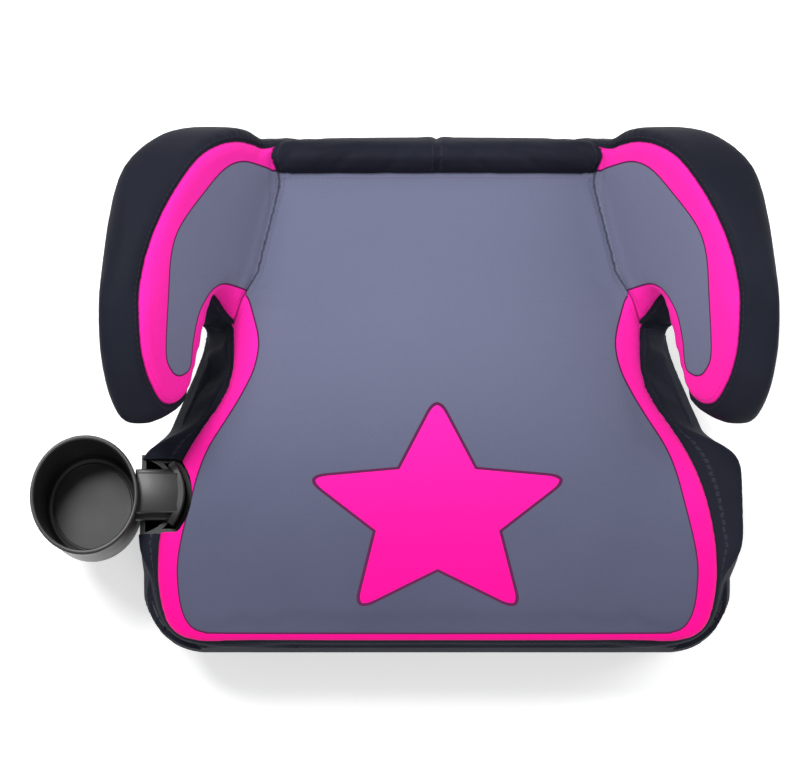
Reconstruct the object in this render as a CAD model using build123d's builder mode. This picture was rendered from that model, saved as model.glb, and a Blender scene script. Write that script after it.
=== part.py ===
"""Backless child's booster seat: moulded shell, foam, sewn cover, two armrests and a lift-out cup holder.

Frame: millimetres, +Z up. The origin is on the underside of the base, on the seat's centre line.
+X is the child's left hand side seen from the front, +Y points to the back of the seat.
The armrests and cup sockets are built once on the +X side and mirrored to the -X side.
"""
from build123d import *
import os

os.makedirs("parts", exist_ok=True)

# ---------------------------------------------------------------- driving sizes
deck_height = 105.0          # top of the sewn seat panel
shoulder_height = 72.0       # level where the seat body is widest
tray_thickness = 4.0         # floor of the base tray
tray_rim_height = 4.0        # rim of the tray that locates it inside the shell
skin = 2.0                   # sewn cover: fabric with its thin backing
seat_foam_thickness = 22.0   # pad between the panel and the shell's deck
wall = 3.0                   # wall of every hollow moulding
fit = 0.3                    # clearance between separate mouldings and under the cover
hem_height = 8.0             # lower edge of the cover's side panels
hem_lift = 4.0               # lower edge of the elastic hem above the base

# Seat body, as half outlines at three levels:
# (rear y, rear x, waist x, flare x, front x, front y, rear corner radius, front corner radius)
waist_y, flare_y, side_y = 20.0, -42.0, -112.0
foot_outline = (152.0, 148.0, 153.0, 174.0, 187.0, -171.0, 30.0, 38.0)
shoulder_outline = (163.0, 156.0, 161.0, 185.0, 199.0, -183.0, 32.0, 42.0)
deck_outline = (163.0, 122.0, 137.0, 165.0, 187.5, -178.5, 26.0, 32.0)

# Rear lip: a padded roll along the back edge of the deck, between the armrests.
# Heights in the lip's and the armrests' outlines are measured from the deck.
lip_profile = [(141.0, -7.0), (143.0, 8.0), (149.0, 18.0), (156.0, 21.0), (161.0, 16.0), (163.0, 7.0),
               (163.0, -7.0)]
lip_half_length = 128.0

# Armrest, cut out of three outlines: front view, side view and plan
arm_front_view = [(108.7, -49.0), (188.0, 108.0), (195.0, 114.0), (212.0, 114.0), (226.0, 104.0),
                  (234.0, 87.0), (150.0, -41.0)]
arm_view_y = 32.0            # the front view's outline is true at this y
arm_toe = 0.229              # inward drift of the armrest per unit of y
arm_side_view = [(160.0, -47.0), (160.0, 27.0), (149.0, 65.0), (126.0, 93.0), (92.0, 111.0),
                 (50.0, 115.0), (10.0, 105.0), (-20.0, 87.0), (-36.0, 67.0), (-36.0, 45.0),
                 (-18.0, 34.0), (34.0, 34.0), (50.0, 25.0), (52.0, -1.0), (52.0, -47.0)]
arm_plan = [(96.0, 160.0), (152.0, 160.0), (188.0, 143.0), (209.0, 118.0), (218.0, 78.0),
            (220.0, 34.0), (218.0, -8.0), (209.0, -35.0), (190.0, -40.0), (172.0, -32.0),
            (150.0, 0.0), (96.0, 40.0)]
arm_margin = 5.0             # the cutting bars start this far outside the armrest
arm_pad = 12.0               # foam over the armrest's inner face
arm_wrap = 4.0               # foam over the rest of the armrest
arm_split = 11.0             # parting plane of the two armrest mouldings behind the core's inner face

# Cup holder and its two identical sockets, on the sides near the front
socket_y = -79.5
socket_axis_x = 203.0        # centre of the curved tongue
tongue_radius = 34.0         # outer radius of the curved tongue
tongue_thickness = 5.0
tongue_width = 44.0
tongue_fit = 0.4             # gap round the tongue in its slot
socket_top = deck_height - 15.0
socket_depth = 46.0
socket_floor_thickness = 4.0
socket_outer_x = 199.5       # outer face of the socket
socket_width = 56.0
tongue_gap = 2.0             # under the tongue, above the socket's floor
arm_top = deck_height + 1.0
arm_depth = 14.0
arm_width = 27.5
arm_rib = 3.5                # how far the lower rib of the arm stands out at the front
arm_rib_height = 5.0
arm_bite = 1.0               # how far the arm runs into the tongue
cup_x = 235.5                # distance of the cup's axis from the centre line
cup_forward = 2.5            # how far the cup's axis is ahead of its arm
cup_rim_above_arm = 7.0
cup_height = 60.0
cup_rim_radius = 36.8
cup_base_radius = 35.0
cup_wall = 2.0
cup_floor = 2.5
cup_rim_lip = 1.0            # rolled lip round the cup's mouth
cup_rim_lip_height = 3.0

# Seams of the skirt
cover_front_y = -148.0
cover_rear_y = 128.0

# Screws and grip pads
boss_radius = 5.0
screw_radius = 1.7
pilot_radius = 1.7           # the thread is shown as a plain fit
head_radius = 3.6
head_height = 2.4
boss_places = [(80.0, -140.0), (132.0, -15.0), (80.0, 120.0)]
arm_screw_places = [(96.0, 19.0), (100.0, 73.0), (26.0, 71.0)]   # (y, height over the deck)
arm_screw_depth = 8.0        # thread length on the inner side of the parting plane
arm_head_seat = 3.5          # how far outside the parting plane the screw heads sit
lug_size = (16.0, 12.0, 3.0)           # socket lugs that rest on the shell's deck
lug_x = 163.0
lug_offset_y = 33.0
lug_screw_length = 10.0
base_screw_length = 16.0
grip_pad_size = (26.0, 60.0)
grip_pad_corner = 6.0
grip_pad_depth = 2.0
grip_pad_places = [(120.0, 115.0), (150.0, -110.0)]

# ---------------------------------------------------------------- sizes that follow
plastic_inset = skin + fit
shell_top = deck_height - skin - seat_foam_thickness
arm_core_inset = skin + arm_wrap
arm_front_outline = [(x, deck_height + height) for x, height in arm_front_view]
arm_side_outline = [(y, deck_height + height) for y, height in arm_side_view]
lip_outline = [(y, deck_height + height) for y, height in lip_profile]
socket_floor = socket_top - socket_depth
tongue_bottom = socket_floor + socket_floor_thickness + tongue_gap
arm_end_x = socket_axis_x - tongue_radius + tongue_thickness - arm_bite
cup_rim_z = arm_top + cup_rim_above_arm
cup_y = socket_y - cup_forward
top_clear = 60.0             # more than enough height for cutting tools
arm_cut_reach = 150.0        # half length of the bars that the armrest is cut from
arm_middle_x = 160.0
front_lean = 1.0             # the sides lean this much towards the front corners
sides = {"left": -1, "right": 1}   # left and right as the viewer sees them from the front
tongue_top = arm_top
slot_outer = tongue_radius + tongue_fit
slot_inner = tongue_radius - tongue_thickness - tongue_fit
socket_outer_radius = slot_outer + wall
socket_inner_wall = slot_inner - wall


# ---------------------------------------------------------------- seat body
def outline_at(z):
    """Half outline of the seat body at height z, between the three master outlines."""
    if z <= shoulder_height:
        low, high, share = foot_outline, shoulder_outline, z / shoulder_height
    else:
        low, high = shoulder_outline, deck_outline
        share = (z - shoulder_height) / (deck_height - shoulder_height)
    return [a + (b - a) * share for a, b in zip(low, high)]


def body_block(inset, low, high):
    """The seat body between two heights, with its sides moved in by inset."""
    levels = [low] + ([shoulder_height] if low < shoulder_height < high else []) + [high]
    with BuildPart() as block:
        for z in levels:
            rear_y, rear_x, waist_x, flare_x, front_x, front_y, radius, front_radius = outline_at(z)
            rear_y, front_y = rear_y - inset, front_y + inset
            radius, front_radius = radius - inset, front_radius - inset
            rear_x, waist_x, flare_x, front_x = [x - inset for x in (rear_x, waist_x, flare_x, front_x)]
            with BuildSketch(Plane.XY.offset(z)):
                with BuildLine():
                    Line((0, rear_y), (rear_x - radius, rear_y))
                    RadiusArc((rear_x - radius, rear_y), (rear_x, rear_y - radius), radius)
                    Spline((rear_x, rear_y - radius), (waist_x, waist_y), (flare_x, flare_y),
                           (front_x, side_y), (front_x - front_lean, front_y + front_radius),
                           tangents=[(0, -1), (0, -1)])
                    RadiusArc((front_x - front_lean, front_y + front_radius), (front_x - front_radius, front_y),
                              front_radius)
                    Line((front_x - front_radius, front_y), (0, front_y))
                    mirror(about=Plane.YZ)
                make_face()
        loft(ruled=True)
    return block.part


body_outer = body_block(0, hem_height, deck_height)
body_inner = body_block(skin, 0, deck_height - skin)


# ---------------------------------------------------------------- armrest and lip envelopes
def arm_envelope(inset):
    """The +X armrest as the common volume of its three outlines, each moved in by inset."""
    start_y = min(y for x, y in arm_plan) - arm_margin
    drift = Vector(-arm_toe, 1, 0).normalized()
    with BuildPart() as envelope:
        with BuildSketch(Plane.XZ.offset(-start_y)):
            with BuildLine():
                Polyline([(x - arm_toe * (start_y - arm_view_y), z) for x, z in arm_front_outline],
                         close=True)
            make_face()
            if inset:
                offset(amount=-inset, kind=Kind.INTERSECTION, mode=Mode.REPLACE)
        extrude(amount=2 * arm_cut_reach, dir=drift)
        with BuildSketch(Plane.YZ.offset(arm_middle_x)):
            with BuildLine():
                Polyline(arm_side_outline, close=True)
            make_face()
            if inset:
                offset(amount=-inset, kind=Kind.INTERSECTION, mode=Mode.REPLACE)
        extrude(amount=arm_cut_reach, both=True, mode=Mode.INTERSECT)
        with BuildSketch(Plane.XY.offset(deck_height)):
            with BuildLine():
                Polyline(arm_plan, close=True)
            make_face()
            if inset:
                offset(amount=-inset, kind=Kind.INTERSECTION, mode=Mode.REPLACE)
        extrude(amount=arm_cut_reach, both=True, mode=Mode.INTERSECT)
    return envelope.part


def inner_face_plane(depth):
    """Plane parallel to the +X armrest's inner face, depth inside it. Its normal points outboard."""
    (low_x, low_z), (top_x, top_z) = arm_front_outline[:2]
    up_the_face = Vector(top_x - low_x, 0, top_z - low_z)
    along_the_face = Vector(-arm_toe, 1, 0)
    normal = along_the_face.cross(up_the_face).normalized()
    foot = Vector(low_x, arm_view_y, low_z)
    return Plane(origin=foot + normal * depth, z_dir=normal)


arm_outer = arm_envelope(0)
arm_inner = arm_envelope(skin)
arm_core = split(arm_envelope(arm_core_inset), bisect_by=inner_face_plane(skin + arm_pad), keep=Keep.TOP)
arm_hollow = split(arm_envelope(arm_core_inset + wall),
                   bisect_by=inner_face_plane(skin + arm_pad + wall), keep=Keep.TOP)


def lip_block(inset):
    with BuildPart() as lip:
        with BuildSketch(Plane.YZ.offset(-lip_half_length)):
            with BuildLine():
                Polyline(lip_outline, close=True)
            make_face()
            if inset:
                offset(amount=-inset, kind=Kind.INTERSECTION, mode=Mode.REPLACE)
        extrude(amount=2 * lip_half_length)
    return lip.part


lip_outer = lip_block(0)
lip_inner = lip_block(skin)


def both(shape):
    """A +X tool and its mirror image."""
    return [shape, mirror(shape, about=Plane.YZ)]


def on_side(shape, side):
    return shape if side > 0 else mirror(shape, about=Plane.YZ)


# ---------------------------------------------------------------- socket tools
def curved_strip(inner, outer, half_width, low, high):
    """Upright curved plate about the tongue's centre line, on the +X side."""
    with BuildPart() as strip:
        with BuildSketch(Plane.XY.offset(low)):
            with Locations((socket_axis_x, socket_y)):
                Circle(outer)
                if inner > 0:
                    Circle(inner, mode=Mode.SUBTRACT)
            with Locations((socket_axis_x - outer, socket_y)):
                Rectangle(2 * outer, 2 * half_width, mode=Mode.INTERSECT)
        extrude(amount=high - low)
    return strip.part


def socket_well(grow, low, high):
    """D shaped block of a socket on the +X side, grown by grow."""
    with BuildPart() as well:
        with BuildSketch(Plane.XY.offset(low)):
            with Locations((socket_axis_x, socket_y)):
                Circle(socket_outer_radius + grow)
            with Locations((socket_outer_x - socket_outer_radius, socket_y)):
                Rectangle(2 * socket_outer_radius, socket_width + 2 * grow, mode=Mode.INTERSECT)
        extrude(amount=high - low)
    return well.part


socket_cut = socket_well(fit, socket_floor - fit, deck_height + top_clear)
lug_places = [(lug_x, socket_y - lug_offset_y), (lug_x, socket_y + lug_offset_y)]
lug_centres = [(lug_x, socket_y + toward * (lug_offset_y - lug_size[1] / 2)) for toward in (-1, 1)]
with BuildPart() as lug_cut_block:
    with BuildSketch(Plane.XY.offset(shell_top)):
        with Locations(*lug_centres):
            Rectangle(lug_size[0] + 2 * fit, 2 * lug_size[1] + 2 * fit)
    extrude(amount=lug_size[2] + head_height + fit)
lug_cut = lug_cut_block.part

# ---------------------------------------------------------------- base tray
with BuildPart() as base_tray:
    add(body_block(plastic_inset, 0, tray_thickness))
    add(body_block(plastic_inset + wall + fit, tray_thickness, tray_thickness + tray_rim_height))
    add(body_block(plastic_inset + 2 * wall + fit, tray_thickness, shell_top), mode=Mode.SUBTRACT)
    with Locations(*[(sx * x, y, 0) for sx in (1, -1) for x, y in boss_places]):
        Cylinder(screw_radius, tray_thickness, align=(Align.CENTER, Align.CENTER, Align.MIN),
                 mode=Mode.SUBTRACT)
        Cylinder(head_radius + fit, head_height, align=(Align.CENTER, Align.CENTER, Align.MIN),
                 mode=Mode.SUBTRACT)
    with BuildSketch(Plane.XY):
        with Locations(*[(sx * x, y) for sx in (1, -1) for x, y in grip_pad_places]):
            RectangleRounded(*grip_pad_size, radius=grip_pad_corner)
    extrude(amount=grip_pad_depth, mode=Mode.SUBTRACT)
base_tray.part.label = "base_tray"
export_step(base_tray.part, "parts/base_tray.step")

with BuildPart() as grip_pads:
    with BuildSketch(Plane.XY):
        with Locations(*[(sx * x, y) for sx in (1, -1) for x, y in grip_pad_places]):
            RectangleRounded(*grip_pad_size, radius=grip_pad_corner)
    extrude(amount=grip_pad_depth)
grip_pads.part.label = "grip_pads"
export_step(grip_pads.part, "parts/grip_pads.step")

# ---------------------------------------------------------------- seat shell
with BuildPart() as seat_shell:
    add(body_block(plastic_inset, tray_thickness, shell_top))
    add(body_block(plastic_inset + wall, tray_thickness, shell_top - wall), mode=Mode.SUBTRACT)
    for tool in both(socket_cut):
        add(tool, mode=Mode.SUBTRACT)
    with BuildSketch(Plane.XY.offset(tray_thickness)):
        with Locations(*[(sx * x, y) for sx in (1, -1) for x, y in boss_places]):
            Circle(boss_radius)
            Circle(pilot_radius, mode=Mode.SUBTRACT)
    extrude(amount=shell_top - wall - tray_thickness)
    with BuildSketch(Plane.XY.offset(shell_top - lug_screw_length - wall)):
        with Locations(*[(sx * x, y) for sx in (1, -1) for x, y in lug_places]):
            Circle(boss_radius)
    extrude(amount=lug_screw_length + wall)
    with BuildSketch(Plane.XY.offset(shell_top - lug_screw_length)):
        with Locations(*[(sx * x, y) for sx in (1, -1) for x, y in lug_places]):
            Circle(screw_radius)
    extrude(amount=lug_screw_length, mode=Mode.SUBTRACT)
seat_shell.part.label = "seat_shell"
export_step(seat_shell.part, "parts/seat_shell.step")

with BuildPart() as base_screws:
    with Locations(*[(sx * x, y, 0) for sx in (1, -1) for x, y in boss_places]):
        Cylinder(head_radius, head_height, align=(Align.CENTER, Align.CENTER, Align.MIN))
        Cylinder(screw_radius, base_screw_length, align=(Align.CENTER, Align.CENTER, Align.MIN))
base_screws.part.label = "base_screws"
export_step(base_screws.part, "parts/base_screws.step")

# ---------------------------------------------------------------- armrests
parting = inner_face_plane(skin + arm_pad + arm_split)
shell_solid = body_block(plastic_inset, 0, shell_top)
panel_back = inner_face_plane(skin)


def arm_screw_plane(y, z, depth):
    """Plane across an armrest screw whose axis crosses the parting plane at (y, z)."""
    lean = parting.z_dir
    x = parting.origin.X - ((y - parting.origin.Y) * lean.Y + (z - parting.origin.Z) * lean.Z) / lean.X
    return Plane(origin=Vector(x, y, z) + lean * depth, z_dir=lean)


with BuildPart() as arm_bosses:
    for y, height in arm_screw_places:
        with BuildSketch(arm_screw_plane(y, deck_height + height, -arm_screw_depth - wall)):
            Circle(boss_radius)
        extrude(amount=arm_cut_reach)
    add(arm_core, mode=Mode.INTERSECT)
with BuildPart() as core:
    add(arm_core)
    add(arm_hollow, mode=Mode.SUBTRACT)
    add(arm_bosses.part)
    add(shell_solid, mode=Mode.SUBTRACT)
    for y, height in arm_screw_places:
        with BuildSketch(arm_screw_plane(y, deck_height + height, -arm_screw_depth)):
            Circle(screw_radius)
        extrude(amount=arm_cut_reach, mode=Mode.SUBTRACT)
        with BuildSketch(arm_screw_plane(y, deck_height + height, arm_head_seat)):
            Circle(head_radius + fit)
        extrude(amount=arm_cut_reach, mode=Mode.SUBTRACT)
with BuildPart() as screws:
    for y, height in arm_screw_places:
        with BuildSketch(arm_screw_plane(y, deck_height + height, -arm_screw_depth)):
            Circle(screw_radius)
        extrude(amount=arm_screw_depth + arm_head_seat)
        with BuildSketch(arm_screw_plane(y, deck_height + height, arm_head_seat)):
            Circle(head_radius)
        extrude(amount=head_height)
arm_foam_block = arm_inner - arm_core - body_inner
arm_cover = arm_outer - arm_inner - body_inner - lip_inner
arm_pieces = {
    "armrest_inner_shell": split(core.part, bisect_by=parting, keep=Keep.BOTTOM),
    "armrest_outer_shell": split(core.part, bisect_by=parting, keep=Keep.TOP),
    "armrest_screws": screws.part,
    # Moulded foam round the armrest, resting on the seat's own pad
    "arm_foam": arm_foam_block,
    # The cover: a printed inner panel, and a black skin over the top, nose and outside
    "arm_panel": split(arm_cover, bisect_by=panel_back, keep=Keep.BOTTOM),
    "arm_skin": split(arm_cover, bisect_by=panel_back, keep=Keep.TOP),
}
for name, side in sides.items():
    for piece_name, shape in arm_pieces.items():
        placed = on_side(shape, side)
        with BuildPart() as arm_piece:
            add(placed)
        arm_piece.part.label = f"{name}_{piece_name}"
        export_step(arm_piece.part, f"parts/{name}_{piece_name}.step")

# ---------------------------------------------------------------- pads
pad_block = split(body_inner, bisect_by=Plane.XY.offset(shell_top), keep=Keep.TOP)
with BuildPart() as seat_foam:
    add(pad_block)
    for tool in both(arm_core) + both(socket_cut) + both(lug_cut):
        add(tool, mode=Mode.SUBTRACT)
seat_foam.part.label = "seat_foam"
export_step(seat_foam.part, "parts/seat_foam.step")

with BuildPart() as rear_lip_foam:
    add(lip_inner)
    add(body_inner, mode=Mode.SUBTRACT)
    for tool in both(arm_inner):
        add(tool, mode=Mode.SUBTRACT)
rear_lip_foam.part.label = "rear_lip_foam"
export_step(rear_lip_foam.part, "parts/rear_lip_foam.step")

# ---------------------------------------------------------------- cover of the seat body
with BuildPart() as body_cover:
    add(body_outer)
    add(body_inner, mode=Mode.SUBTRACT)
    add(lip_outer, mode=Mode.SUBTRACT)
    for tool in both(arm_outer) + both(socket_cut):
        add(tool, mode=Mode.SUBTRACT)

panel_edge = Plane.XY.offset(deck_height - skin)
front_seam = Plane.XZ.offset(-cover_front_y)
rear_seam = Plane.XZ.offset(-cover_rear_y)
with BuildPart() as seat_cover_panel:
    add(split(body_cover.part, bisect_by=panel_edge, keep=Keep.TOP))
seat_cover_panel.part.label = "seat_cover_panel"
export_step(seat_cover_panel.part, "parts/seat_cover_panel.step")

skirt = split(body_cover.part, bisect_by=panel_edge, keep=Keep.BOTTOM)
ahead_of_rear = split(skirt, bisect_by=rear_seam, keep=Keep.TOP)
with BuildPart() as rear_skin:
    add(split(skirt, bisect_by=rear_seam, keep=Keep.BOTTOM))
rear_skin.part.label = "rear_skin"
export_step(rear_skin.part, "parts/rear_skin.step")
with BuildPart() as front_skin:
    add(split(ahead_of_rear, bisect_by=front_seam, keep=Keep.TOP))
front_skin.part.label = "front_skin"
export_step(front_skin.part, "parts/front_skin.step")
flanks = split(ahead_of_rear, bisect_by=front_seam, keep=Keep.BOTTOM)
for name, keep in {"left": Keep.BOTTOM, "right": Keep.TOP}.items():
    with BuildPart() as side_skin:
        add(split(flanks, bisect_by=Plane.YZ, keep=keep))
    side_skin.part.label = f"{name}_side_skin"
    export_step(side_skin.part, f"parts/{name}_side_skin.step")

with BuildPart() as lip_cover:
    add(lip_outer)
    add(lip_inner, mode=Mode.SUBTRACT)
    add(body_inner, mode=Mode.SUBTRACT)
    for tool in both(arm_outer):
        add(tool, mode=Mode.SUBTRACT)
for name, keep in {"left": Keep.BOTTOM, "right": Keep.TOP}.items():
    with BuildPart() as rear_band:
        add(split(lip_cover.part, bisect_by=Plane.YZ, keep=keep))
    rear_band.part.label = f"{name}_rear_band"
    export_step(rear_band.part, f"parts/{name}_rear_band.step")

with BuildPart() as hem_elastic:
    add(body_block(0, hem_lift, hem_height))
    add(body_block(skin, hem_lift, hem_height), mode=Mode.SUBTRACT)
hem_elastic.part.label = "hem_elastic"
export_step(hem_elastic.part, "parts/hem_elastic.step")

# ---------------------------------------------------------------- cup sockets
slot = curved_strip(slot_inner, slot_outer, tongue_width / 2 + tongue_fit, tongue_bottom - tongue_fit,
                    deck_height + top_clear)
with BuildPart() as socket:
    add(socket_well(0, socket_floor, socket_top))
    with BuildSketch(Plane.XY.offset(shell_top)):
        with Locations(*lug_centres):
            Rectangle(lug_size[0], 2 * lug_size[1])
    extrude(amount=lug_size[2])
    with BuildSketch(Plane.XY.offset(shell_top)):
        with Locations(*lug_places):
            Circle(screw_radius)
    extrude(amount=lug_size[2], mode=Mode.SUBTRACT)
    add(slot, mode=Mode.SUBTRACT)
    with BuildSketch(Plane.XY.offset(socket_floor + socket_floor_thickness)):
        with Locations((socket_axis_x, socket_y)):
            Circle(socket_inner_wall)
        with Locations((socket_outer_x - wall - tongue_radius, socket_y)):
            Rectangle(2 * tongue_radius, socket_width - 2 * wall, mode=Mode.INTERSECT)
    extrude(amount=socket_top, mode=Mode.SUBTRACT)
for name, side in sides.items():
    placed = on_side(socket.part, side)
    with BuildPart() as cup_socket:
        add(placed)
    cup_socket.part.label = f"{name}_cup_socket"
    export_step(cup_socket.part, f"parts/{name}_cup_socket.step")

with BuildPart() as socket_screws:
    with Locations(*[(sx * x, y, shell_top - lug_screw_length) for sx in (1, -1) for x, y in lug_places]):
        Cylinder(screw_radius, lug_screw_length + lug_size[2],
                 align=(Align.CENTER, Align.CENTER, Align.MIN))
    with Locations(*[(sx * x, y, shell_top + lug_size[2]) for sx in (1, -1) for x, y in lug_places]):
        Cylinder(head_radius, head_height, align=(Align.CENTER, Align.CENTER, Align.MIN))
socket_screws.part.label = "socket_screws"
export_step(socket_screws.part, "parts/socket_screws.step")

# ---------------------------------------------------------------- cup holder, on the viewer's left
with BuildPart() as cup_holder:
    with BuildSketch(Plane.XZ.offset(-cup_y)):
        with BuildLine():
            Polyline([(-cup_x, cup_rim_z - cup_height), (-cup_x + cup_base_radius, cup_rim_z - cup_height),
                      (-cup_x + cup_rim_radius - cup_rim_lip, cup_rim_z - cup_rim_lip_height),
                      (-cup_x + cup_rim_radius, cup_rim_z - cup_rim_lip_height),
                      (-cup_x + cup_rim_radius, cup_rim_z), (-cup_x, cup_rim_z)], close=True)
        make_face()
    revolve(axis=Axis((-cup_x, cup_y, 0), (0, 0, 1)))
    for width, height in ((arm_width, arm_depth), (arm_width + 2 * arm_rib, arm_rib_height)):
        with BuildSketch(Plane.XY.offset(arm_top - arm_depth)):
            with Locations((-(cup_x + arm_end_x) / 2, socket_y)):
                Rectangle(cup_x - arm_end_x, width)
        extrude(amount=height)
    add(mirror(curved_strip(tongue_radius - tongue_thickness, tongue_radius, tongue_width / 2,
                            tongue_bottom, tongue_top), about=Plane.YZ))
    with BuildSketch(Plane.XZ.offset(-cup_y)):
        with BuildLine():
            Polyline([(-cup_x, cup_rim_z - cup_height + cup_floor),
                      (-cup_x + cup_base_radius - cup_wall, cup_rim_z - cup_height + cup_floor),
                      (-cup_x + cup_rim_radius - cup_rim_lip - cup_wall, cup_rim_z),
                      (-cup_x, cup_rim_z)], close=True)
        make_face()
    revolve(axis=Axis((-cup_x, cup_y, 0), (0, 0, 1)), mode=Mode.SUBTRACT)
cup_holder.part.label = "cup_holder"
export_step(cup_holder.part, "parts/cup_holder.step")
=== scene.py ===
# %% [markdown]
# # A backless booster seat for a child, in Blender
# The real seat is a stiff moulded base with two curved armrests, padded with foam and dressed in
# a sewn cover. A black cup holder hangs in a socket on one side. The mouldings, screws and the
# lift of the cup holder come from the CAD frame. This lesson makes what a person sees and
# touches: the sewn cover, the cup holder and their finishes.

# %% Load the frame
import math
import bpy
import bmesh
import numpy as np
from mathutils import Matrix, Vector, kdtree
from mathutils.bvhtree import BVHTree


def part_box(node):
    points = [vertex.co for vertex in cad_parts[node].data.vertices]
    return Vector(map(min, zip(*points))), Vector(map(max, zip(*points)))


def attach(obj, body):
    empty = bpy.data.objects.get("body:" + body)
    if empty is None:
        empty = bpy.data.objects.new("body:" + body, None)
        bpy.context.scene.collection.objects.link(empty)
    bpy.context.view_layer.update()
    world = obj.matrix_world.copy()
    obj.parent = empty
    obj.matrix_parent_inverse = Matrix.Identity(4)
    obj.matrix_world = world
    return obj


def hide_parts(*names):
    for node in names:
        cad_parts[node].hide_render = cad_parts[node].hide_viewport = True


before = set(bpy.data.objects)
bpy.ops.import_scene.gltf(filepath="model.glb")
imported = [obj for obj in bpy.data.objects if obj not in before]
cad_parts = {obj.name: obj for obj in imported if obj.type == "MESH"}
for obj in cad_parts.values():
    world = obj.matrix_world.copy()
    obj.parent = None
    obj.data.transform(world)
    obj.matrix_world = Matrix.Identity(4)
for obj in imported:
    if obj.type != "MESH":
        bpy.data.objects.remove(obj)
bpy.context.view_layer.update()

MM = 0.001
SEAT = "seat"
HOLDER = "cup_holder"

# %% [markdown]
# ## The view and the light
# The seat is looked down on from the front, steeply, with a long lens, so the armrests lean only a
# little away from the middle. A long lens far away is chosen because a short one would stretch the
# armrests.

# %% Camera
ELEVATION = math.radians(79)
DISTANCE = 1.8
AIM = Vector((-0.025, -0.008, 0.100))
LENS_MM = 119.88
SENSOR_MM = 36.0


def add_camera():
    data = bpy.data.cameras.new("camera")
    data.sensor_width = SENSOR_MM
    data.lens = LENS_MM
    camera = bpy.data.objects.new("camera", data)
    bpy.context.scene.collection.objects.link(camera)
    towards_seat = Vector((0, math.cos(ELEVATION), -math.sin(ELEVATION)))
    camera.location = AIM - towards_seat * DISTANCE
    camera.rotation_euler = (math.pi / 2 - ELEVATION, 0, 0)
    bpy.context.scene.camera = camera
    return camera


def add_lamp(name, place, size, power, target=Vector((0, 0, 0.08))):
    data = bpy.data.lights.new(name, "AREA")
    data.shape = "DISK"
    data.size = size
    data.energy = power
    lamp = bpy.data.objects.new(name, data)
    lamp.location = place
    lamp.rotation_euler = (target - Vector(place)).to_track_quat("-Z", "Y").to_euler()
    bpy.context.scene.collection.objects.link(lamp)


camera = add_camera()
bpy.context.scene.view_settings.view_transform = "Standard"
print("camera at", [round(v, 3) for v in camera.location], "lens", round(camera.data.lens, 1))

# %% [markdown]
# ## Lamps and sky
# The key lamp stands behind on the left, high up, and gives the armrests their shading. The other
# two fill its shadows. An even white sky keeps the black cloth readable.

# %% Three lamps and the sky
SKY_STRENGTH = 0.34
add_lamp("key_lamp", (-0.75, 0.70, 1.9), 0.9, 44)
add_lamp("fill_lamp", (1.5, 0.6, 1.5), 1.2, 20)
add_lamp("front_lamp", (0.2, -1.8, 1.6), 1.4, 18)

world = bpy.data.worlds.new("studio")
bpy.context.scene.world = world
world.use_nodes = True
sky = world.node_tree.nodes["Background"]
sky.inputs["Color"].default_value = (1, 1, 1, 1)
sky.inputs["Strength"].default_value = SKY_STRENGTH

# %% [markdown]
# ## Curves
# Every outline on the seat is a smooth curve through a few chosen points. A Catmull-Rom curve
# passes through its points, so it is easier to set by measure than a curve with handles.


# %% Curve helpers
def smooth_curve(points, steps=8, closed=False):
    """Catmull-Rom curve through the points, as an array, with steps spans between neighbours."""
    p = np.array(points, float)
    if closed:
        p = np.vstack([p[-1], p, p[0], p[1]])
    else:
        p = np.vstack([2 * p[0] - p[1], p, 2 * p[-1] - p[-2]])
    t = np.linspace(0, 1, steps, endpoint=False)[:, None]
    spans = []
    for a, b, c, d in zip(p[:-3], p[1:-2], p[2:-1], p[3:]):
        spans.append(0.5 * (2 * b + (c - a) * t + (2 * a - 5 * b + 4 * c - d) * t ** 2
                            + (3 * b - a - 3 * c + d) * t ** 3))
    curve = np.vstack(spans)
    return curve if closed else np.vstack([curve, p[-2]])


# %% [markdown]
# ## Helpers for objects
# Operators act on what is selected, so each helper deselects everything first. A modifier is
# applied at once, so that every piece ends as a plain mesh.


# %% Object helpers
def mesh_object(name, vertices, faces):
    mesh = bpy.data.meshes.new(name)
    mesh.from_pydata([tuple(v) for v in vertices], [], faces)
    obj = bpy.data.objects.new(name, mesh)
    bpy.context.scene.collection.objects.link(obj)
    return obj


def deselect_all():
    if bpy.context.mode != "OBJECT":
        bpy.ops.object.mode_set(mode="OBJECT")
    bpy.ops.object.select_all(action="DESELECT")


def make_active(obj, *others):
    deselect_all()
    for o in (obj,) + others:
        o.select_set(True)
    bpy.context.view_layer.objects.active = obj


def apply_modifier(obj, kind, **settings):
    make_active(obj)
    modifier = obj.modifiers.new(kind.lower(), kind)
    for key, value in settings.items():
        setattr(modifier, key, value)
    bpy.ops.object.modifier_apply(modifier=modifier.name)


# %% [markdown]
# ## The padded form under the cover
# The cover is pulled tight over foam, so its shape is the shape of the foam, with every edge
# rounded. The form is built as a person would cut it from foam blocks: a seat block, a rear lip
# and two armrests, each armrest cut along three outlines. The blocks are then fused and smoothed,
# which rounds the inner corners where the cloth bridges them.

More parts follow.
